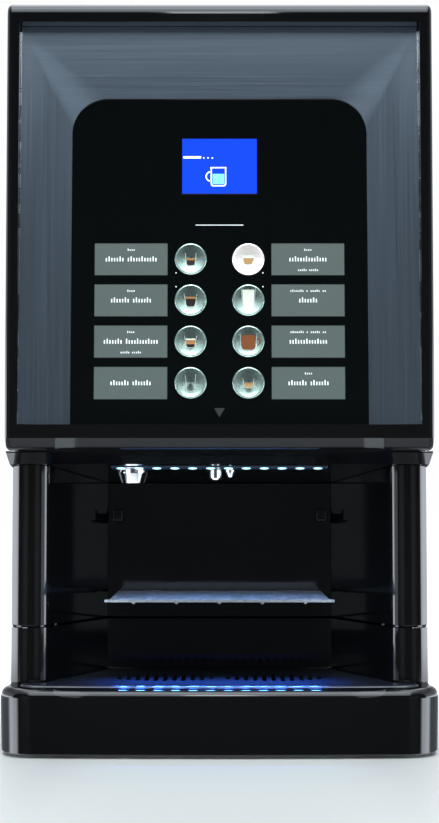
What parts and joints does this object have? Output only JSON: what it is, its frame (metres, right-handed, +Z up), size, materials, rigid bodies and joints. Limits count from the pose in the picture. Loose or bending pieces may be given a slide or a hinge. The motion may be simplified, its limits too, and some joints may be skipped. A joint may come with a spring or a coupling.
{
  "type": "hot coffee vending machine",
  "caption": "Table-top hot drinks machine with push-button panel, lit cup bay, pull-out drip drawer, swinging front door and the brewer, grinder, mixer and boiler inside.",
  "frame": {"origin": "centre of the footprint, on the surface that the machine stands on", "axes": "+Z up, +X to the right of a person facing the front, the front faces -Y"},
  "size_m": [0.41, 0.55, 0.705],
  "materials": {
    "gloss_black": "high gloss moulded black",
    "matt_black": "fine textured black",
    "brushed_fascia": "brushed, fine grain along each facet",
    "stainless": "polished",
    "chrome": "mirror chrome",
    "zinc_sheet": "zinc-plated folded sheet",
    "dark_sheet": "dark powder coat",
    "smoked_plastic": "smoked brown, slightly clear",
    "white_plastic": "natural white engineering plastic",
    "button_metal": "brushed conical dish",
    "label_window": "grey-green back-lit window",
    "screen": "lit blue display",
    "led_lens": "clear lens over a cool white lamp",
    "circuit_board": "green solder mask",
    "rubber": "black rubber",
    "motor_can": "plated motor can"
  },
  "bodies": {
    "cabinet": {"base_chassis": "zinc_sheet", "foot_rail_left": "rubber", "foot_rail_right": "rubber", "side_panel_left": "dark_sheet", "side_panel_right": "dark_sheet", "rear_panel": "dark_sheet", "bulkhead": "zinc_sheet", "bean_hopper": "smoked_plastic", "powder_canister": "smoked_plastic", "auger_motor": "motor_can", "brew_motor": "motor_can", "whipper_motor": "motor_can", "grinder_body": "matt_black", "brew_housing": "matt_black", "boiler": "stainless", "water_pump": "motor_can", "inlet_valve": "white_plastic", "mixer_bowl": "white_plastic", "control_board": "circuit_board", "power_supply": "zinc_sheet", "fan_housing": "matt_black", "power_inlet": "matt_black", "hinge_pin_lower": "zinc_sheet", "hinge_pin_upper": "zinc_sheet"},
    "door": {"door_frame": "gloss_black", "door_liner": "dark_sheet", "fascia": "brushed_fascia", "control_panel": "gloss_black", "label_diffuser": "label_window", "display": "screen", "keypad_board": "circuit_board", "bay_side_left": "gloss_black", "bay_side_right": "gloss_black", "bay_back_wall": "gloss_black", "bay_ceiling": "gloss_black", "led_bar": "led_lens", "hot_water_nozzle": "chrome", "coffee_spout": "chrome", "milk_spout": "chrome"},
    "drawer": {"drip_drawer": "gloss_black", "grounds_bin": "matt_black"},
    "grille": {"tray_grille": "matt_black"},
    "shelf": {"cup_shelf": "stainless"},
    "lid": {"top_lid": "gloss_black"},
    "lock": {"door_lock": "chrome"},
    "powder_screw": {"auger": "white_plastic"},
    "burr": {"grinder_burr": "stainless"},
    "gear": {"brew_gear": "white_plastic"},
    "piston": {"brew_piston": "stainless"},
    "whisk": {"whipper": "white_plastic"},
    "fan": {"fan_rotor": "matt_black"},
    "rocker": {"power_switch": "matt_black"},
    "push_1": {"button_1": "button_metal"},
    "push_2": {"button_2": "button_metal"},
    "push_3": {"button_3": "button_metal"},
    "push_4": {"button_4": "button_metal"},
    "push_5": {"button_5": "button_metal"},
    "push_6": {"button_6": "button_metal"},
    "push_7": {"button_7": "button_metal"},
    "push_8": {"button_8": "button_metal"}
  },
  "joints": [
    {"name": "door_swing", "type": "hinge", "parent": "cabinet", "child": "door", "pos_m": [-0.186, -0.112, 0.1172], "axis": [0, 0, -1], "range_deg": [0, 95]},
    {"name": "drawer_slide", "type": "slide", "parent": "cabinet", "child": "drawer", "axis": [0, -1, 0], "range_m": [0, 0.2]},
    {"name": "grille_lift", "type": "slide", "parent": "drawer", "child": "grille", "axis": [0, 0, 1], "range_m": [0, 0.055]},
    {"name": "shelf_slide", "type": "slide", "parent": "door", "child": "shelf", "axis": [0, -1, 0], "range_m": [0, 0.16]},
    {"name": "lid_open", "type": "hinge", "parent": "cabinet", "child": "lid", "pos_m": [0, 0.2655, 0.701], "axis": [-1, 0, 0], "range_deg": [0, 80]},
    {"name": "lock_turn", "type": "hinge", "parent": "door", "child": "lock", "pos_m": [0.2, -0.15, 0.5], "axis": [1, 0, 0], "range_deg": [0, 90]},
    {"name": "auger_spin", "type": "hinge", "parent": "cabinet", "child": "powder_screw", "pos_m": [0.1, 0, 0.532], "axis": [0, 1, 0], "continuous": true},
    {"name": "burr_spin", "type": "hinge", "parent": "cabinet", "child": "burr", "pos_m": [-0.097, 0.03, 0.44], "axis": [0, 0, 1], "continuous": true},
    {"name": "gear_turn", "type": "hinge", "parent": "cabinet", "child": "gear", "pos_m": [-0.095, 0.07, 0.25], "axis": [0, 1, 0], "range_deg": [0, 180]},
    {"name": "piston_lift", "type": "slide", "parent": "cabinet", "child": "piston", "axis": [0, 0, 1], "range_m": [0, 0.045]},
    {"name": "whisk_spin", "type": "hinge", "parent": "cabinet", "child": "whisk", "pos_m": [0.1, -0.052, 0.385], "axis": [0, 1, 0], "continuous": true},
    {"name": "fan_spin", "type": "hinge", "parent": "cabinet", "child": "fan", "pos_m": [0.11, 0.2505, 0.4], "axis": [0, 1, 0], "continuous": true},
    {"name": "switch_rock", "type": "hinge", "parent": "cabinet", "child": "rocker", "pos_m": [0.165, 0.264, 0.06], "axis": [1, 0, 0], "range_deg": [0, 14]},
    {"name": "button_1_press", "type": "slide", "parent": "door", "child": "push_1", "axis": [0, 0.9994, -0.0357], "range_m": [0, 0.0015], "stiffness_N_per_m": 300, "springref_m": -0.001},
    {"name": "button_2_press", "type": "slide", "parent": "door", "child": "push_2", "axis": [0, 0.9994, -0.0357], "range_m": [0, 0.0015], "stiffness_N_per_m": 300, "springref_m": -0.001},
    {"name": "button_3_press", "type": "slide", "parent": "door", "child": "push_3", "axis": [0, 0.9994, -0.0357], "range_m": [0, 0.0015], "stiffness_N_per_m": 300, "springref_m": -0.001},
    {"name": "button_4_press", "type": "slide", "parent": "door", "child": "push_4", "axis": [0, 0.9994, -0.0357], "range_m": [0, 0.0015], "stiffness_N_per_m": 300, "springref_m": -0.001},
    {"name": "button_5_press", "type": "slide", "parent": "door", "child": "push_5", "axis": [0, 0.9994, -0.0357], "range_m": [0, 0.0015], "stiffness_N_per_m": 300, "springref_m": -0.001},
    {"name": "button_6_press", "type": "slide", "parent": "door", "child": "push_6", "axis": [0, 0.9994, -0.0357], "range_m": [0, 0.0015], "stiffness_N_per_m": 300, "springref_m": -0.001},
    {"name": "button_7_press", "type": "slide", "parent": "door", "child": "push_7", "axis": [0, 0.9994, -0.0357], "range_m": [0, 0.0015], "stiffness_N_per_m": 300, "springref_m": -0.001},
    {"name": "button_8_press", "type": "slide", "parent": "door", "child": "push_8", "axis": [0, 0.9994, -0.0357], "range_m": [0, 0.0015], "stiffness_N_per_m": 300, "springref_m": -0.001}
  ],
  "couplings": [
    {"joint": "piston_lift", "follows": "gear_turn", "m_per_rad": 0.0143}
  ]
}
